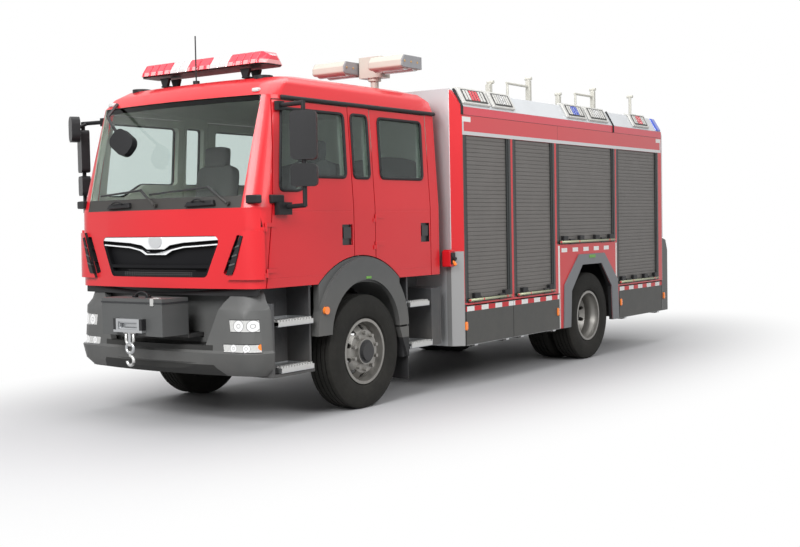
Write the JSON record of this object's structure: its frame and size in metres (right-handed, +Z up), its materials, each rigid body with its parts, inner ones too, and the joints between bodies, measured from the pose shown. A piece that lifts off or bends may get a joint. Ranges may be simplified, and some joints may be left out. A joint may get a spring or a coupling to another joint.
{
  "type": "fire truck",
  "caption": "Crew-cab fire truck with hollow cab, hinged doors, roller-shutter lockers, fold-down flaps, front winch and telescopic light mast.",
  "frame": {"origin": "on the ground under the middle of the truck's box", "axes": "+X to the truck's left, -Y ahead, +Z up"},
  "size_m": [2.9646, 8.57, 3.41],
  "materials": {
    "chassis_black": "satin dark grey chassis paint",
    "red_paint": "glossy fire red paint",
    "dark_plastic": "grained dark grey plastic",
    "black_plastic": "black plastic",
    "body_silver": "brushed aluminium sheet",
    "shutter_alu": "anodised slats",
    "steel_tube": "stainless tube",
    "glass": "tinted glass",
    "tyre": "black rubber",
    "rim_steel": "silver lacquer",
    "lamp_clear": "clear lamp glass",
    "lamp_white": "white lamp housing",
    "lightbar_red": "red lens plastic",
    "interior": "grained interior plastic",
    "seat_fabric": "woven seat cover"
  },
  "bodies": {
    "chassis": {"frame": "chassis_black", "front_axle": "chassis_black", "rear_axle": "chassis_black", "drivetrain": "chassis_black", "tow_jaw": "chassis_black", "bumper": "dark_plastic", "lamps": "lamp_clear", "winch": "dark_plastic", "cab_floor": "interior", "cab_roof": "red_paint", "cab_front": "red_paint", "cab_sides": "red_paint", "cab_back": "red_paint", "cab_glass": "glass", "grille": "black_plastic", "wipers": "black_plastic", "dashboard": "interior", "seats": "seat_fabric", "wheel_arches": "dark_plastic", "cab_steps": "dark_plastic", "body_base": "body_silver", "body_sides": "red_paint", "body_ends": "red_paint", "body_roof": "body_silver", "shutters": "shutter_alu", "roof_lamps": "lamp_white", "roof_rack": "steel_tube", "light_bar": "lightbar_red", "roof_fittings": "black_plastic", "mast_tube": "steel_tube"},
    "mast": {"mast_stage": "steel_tube"},
    "mast_head": {"mast_head": "lamp_white"},
    "floodlights": {"floodlights": "lamp_white"},
    "knuckle_left": {"knuckle_left": "chassis_black"},
    "wheel_front_left": {"rim_front_left": "rim_steel", "tyre_front_left": "tyre"},
    "wheel_rear_left": {"rim_rear_left": "rim_steel", "tyre_rear_left": "tyre"},
    "door_front_left": {"door_front_left": "red_paint", "glass_front_left": "glass", "mirror_left": "black_plastic"},
    "door_rear_left": {"door_rear_left": "red_paint", "glass_rear_left": "glass"},
    "flap_1_left": {"flap_1_left": "dark_plastic"},
    "flap_2_left": {"flap_2_left": "dark_plastic"},
    "flap_3_left": {"flap_3_left": "dark_plastic"},
    "knuckle_right": {"knuckle_right": "chassis_black"},
    "wheel_front_right": {"rim_front_right": "rim_steel", "tyre_front_right": "tyre"},
    "wheel_rear_right": {"rim_rear_right": "rim_steel", "tyre_rear_right": "tyre"},
    "door_front_right": {"door_front_right": "red_paint", "glass_front_right": "glass", "mirror_right": "black_plastic"},
    "door_rear_right": {"door_rear_right": "red_paint", "glass_rear_right": "glass"},
    "flap_1_right": {"flap_1_right": "dark_plastic"},
    "flap_2_right": {"flap_2_right": "dark_plastic"},
    "flap_3_right": {"flap_3_right": "dark_plastic"}
  },
  "joints": [
    {"name": "mast_raise", "type": "slide", "parent": "chassis", "child": "mast", "axis": [0, 0, 1], "range_m": [0, 1.4]},
    {"name": "mast_pan", "type": "hinge", "parent": "mast", "child": "mast_head", "pos_m": [0.284, -1.095, 3.2], "axis": [0, 0, 1], "range_deg": [-170, 170]},
    {"name": "lamp_tilt", "type": "hinge", "parent": "mast_head", "child": "floodlights", "pos_m": [0.284, -1.095, 3.3], "axis": [-1, 0, 0], "range_deg": [0, 90]},
    {"name": "steer_left", "type": "hinge", "parent": "chassis", "child": "knuckle_left", "pos_m": [0.88, -2.455, 0.522], "axis": [0, 0, 1], "range_deg": [-38, 38]},
    {"name": "spin_front_left", "type": "hinge", "parent": "knuckle_left", "child": "wheel_front_left", "pos_m": [0.996, -2.455, 0.522], "axis": [1, 0, 0], "continuous": true},
    {"name": "spin_rear_left", "type": "hinge", "parent": "chassis", "child": "wheel_rear_left", "pos_m": [0.9095, 1.945, 0.522], "axis": [1, 0, 0], "continuous": true},
    {"name": "door_front_left_hinge", "type": "hinge", "parent": "chassis", "child": "door_front_left", "pos_m": [1.122, -3.765, 1.6], "axis": [0, 0, -1], "range_deg": [0, 70]},
    {"name": "door_rear_left_hinge", "type": "hinge", "parent": "chassis", "child": "door_rear_left", "pos_m": [1.122, -2.258, 1.6], "axis": [0, 0, -1], "range_deg": [0, 70]},
    {"name": "flap_1_left_fold", "type": "hinge", "parent": "chassis", "child": "flap_1_left", "pos_m": [1.238, -0.435, 0.42], "axis": [0, 1, 0], "range_deg": [0, 90]},
    {"name": "flap_2_left_fold", "type": "hinge", "parent": "chassis", "child": "flap_2_left", "pos_m": [1.238, 0.575, 0.42], "axis": [0, 1, 0], "range_deg": [0, 90]},
    {"name": "flap_3_left_fold", "type": "hinge", "parent": "chassis", "child": "flap_3_left", "pos_m": [1.238, 3.405, 0.42], "axis": [0, 1, 0], "range_deg": [0, 90]},
    {"name": "steer_right", "type": "hinge", "parent": "chassis", "child": "knuckle_right", "pos_m": [-0.88, -2.455, 0.522], "axis": [0, 0, 1], "range_deg": [-38, 38]},
    {"name": "spin_front_right", "type": "hinge", "parent": "knuckle_right", "child": "wheel_front_right", "pos_m": [-0.996, -2.455, 0.522], "axis": [1, 0, 0], "continuous": true},
    {"name": "spin_rear_right", "type": "hinge", "parent": "chassis", "child": "wheel_rear_right", "pos_m": [-0.9095, 1.945, 0.522], "axis": [1, 0, 0], "continuous": true},
    {"name": "door_front_right_hinge", "type": "hinge", "parent": "chassis", "child": "door_front_right", "pos_m": [-1.122, -3.765, 1.6], "axis": [0, 0, 1], "range_deg": [0, 70]},
    {"name": "door_rear_right_hinge", "type": "hinge", "parent": "chassis", "child": "door_rear_right", "pos_m": [-1.122, -2.258, 1.6], "axis": [0, 0, 1], "range_deg": [0, 70]},
    {"name": "flap_1_right_fold", "type": "hinge", "parent": "chassis", "child": "flap_1_right", "pos_m": [-1.238, -0.435, 0.42], "axis": [0, -1, 0], "range_deg": [0, 90]},
    {"name": "flap_2_right_fold", "type": "hinge", "parent": "chassis", "child": "flap_2_right", "pos_m": [-1.238, 0.575, 0.42], "axis": [0, -1, 0], "range_deg": [0, 90]},
    {"name": "flap_3_right_fold", "type": "hinge", "parent": "chassis", "child": "flap_3_right", "pos_m": [-1.238, 3.405, 0.42], "axis": [0, -1, 0], "range_deg": [0, 90]}
  ],
  "couplings": [
    {"joint": "steer_right", "follows": "steer_left", "ratio": 1}
  ]
}
